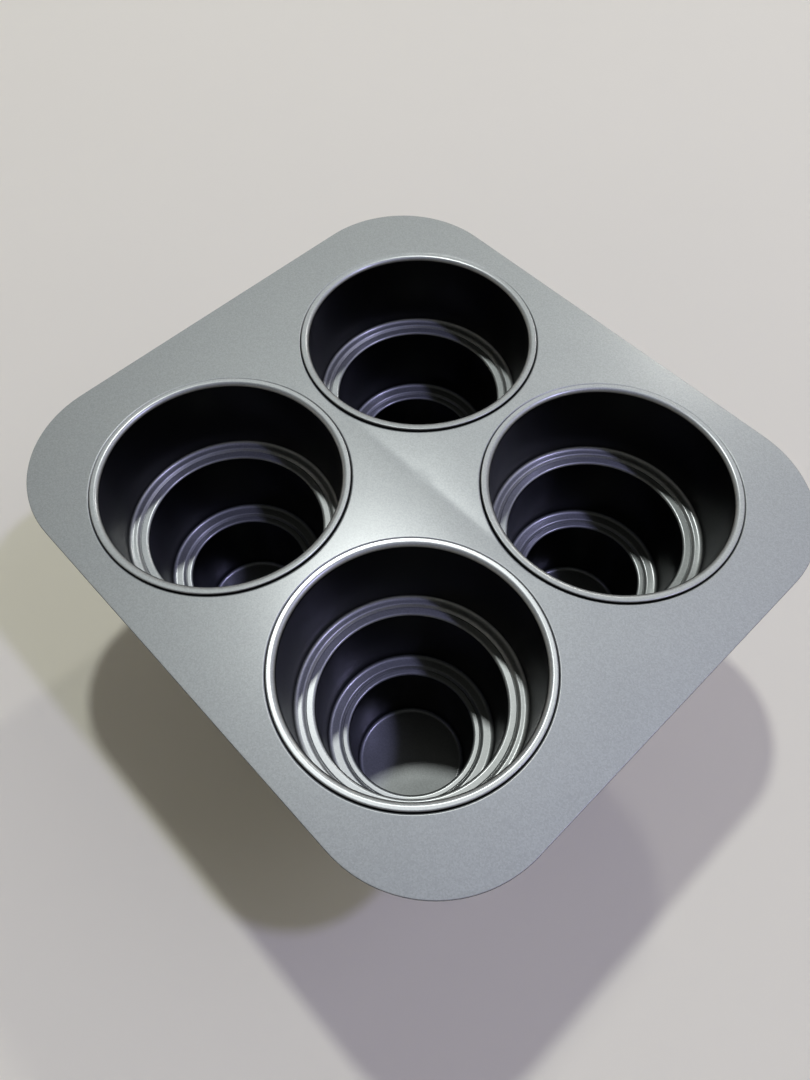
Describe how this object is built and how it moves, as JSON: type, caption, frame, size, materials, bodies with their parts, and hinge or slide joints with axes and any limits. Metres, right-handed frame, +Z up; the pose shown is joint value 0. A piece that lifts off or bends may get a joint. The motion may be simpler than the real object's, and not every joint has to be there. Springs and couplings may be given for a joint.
{
  "type": "mini tiered cake pan",
  "caption": "Flat baking plate with deep three-tier round cups seamed into its holes, for baking small tiered cakes; dark grey non-stick metal.",
  "frame": {"origin": "on the surface that the pan stands on, under the middle of the plate", "axes": "+X along the plate's long side, +Y towards the back, +Z up out of the cups"},
  "size_m": [0.271, 0.248, 0.1165],
  "materials": {
    "nonstick_coating": "satin dark grey non-stick coating with a fine metallic grain, over sheet steel"
  },
  "bodies": {
    "root": {"top_plate": "nonstick_coating", "cup_front_left": "nonstick_coating", "cup_front_right": "nonstick_coating", "cup_back_left": "nonstick_coating", "cup_back_right": "nonstick_coating"}
  },
  "joints": []
}
